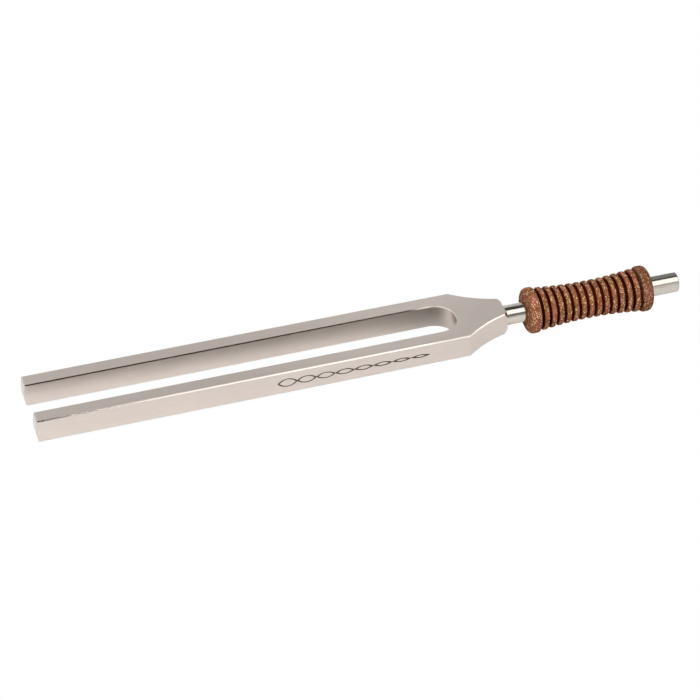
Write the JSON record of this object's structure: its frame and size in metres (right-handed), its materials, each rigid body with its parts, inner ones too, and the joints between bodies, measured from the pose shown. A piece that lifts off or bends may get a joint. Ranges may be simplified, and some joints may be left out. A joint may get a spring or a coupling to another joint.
{
  "type": "tuning fork",
  "caption": "Metal tuning fork with long rectangular tines, a slim round stem and a ribbed waisted grip; the stem's foot is set on a surface to sound it.",
  "frame": {"origin": "centre of the flat face at the stem's free end", "axes": "+X out of the stem's free end along its axis, +Y across the tines, +Z square to the fork's broad faces and up when it lies flat; the tines reach towards -X"},
  "size_m": [0.2004, 0.0226, 0.014],
  "materials": {
    "satin_nickel": "satin",
    "polished_nickel": "polished",
    "cork_rubber": "matte"
  },
  "bodies": {
    "root": {"fork_body": "satin_nickel", "stem": "polished_nickel", "grip": "cork_rubber"}
  },
  "joints": []
}
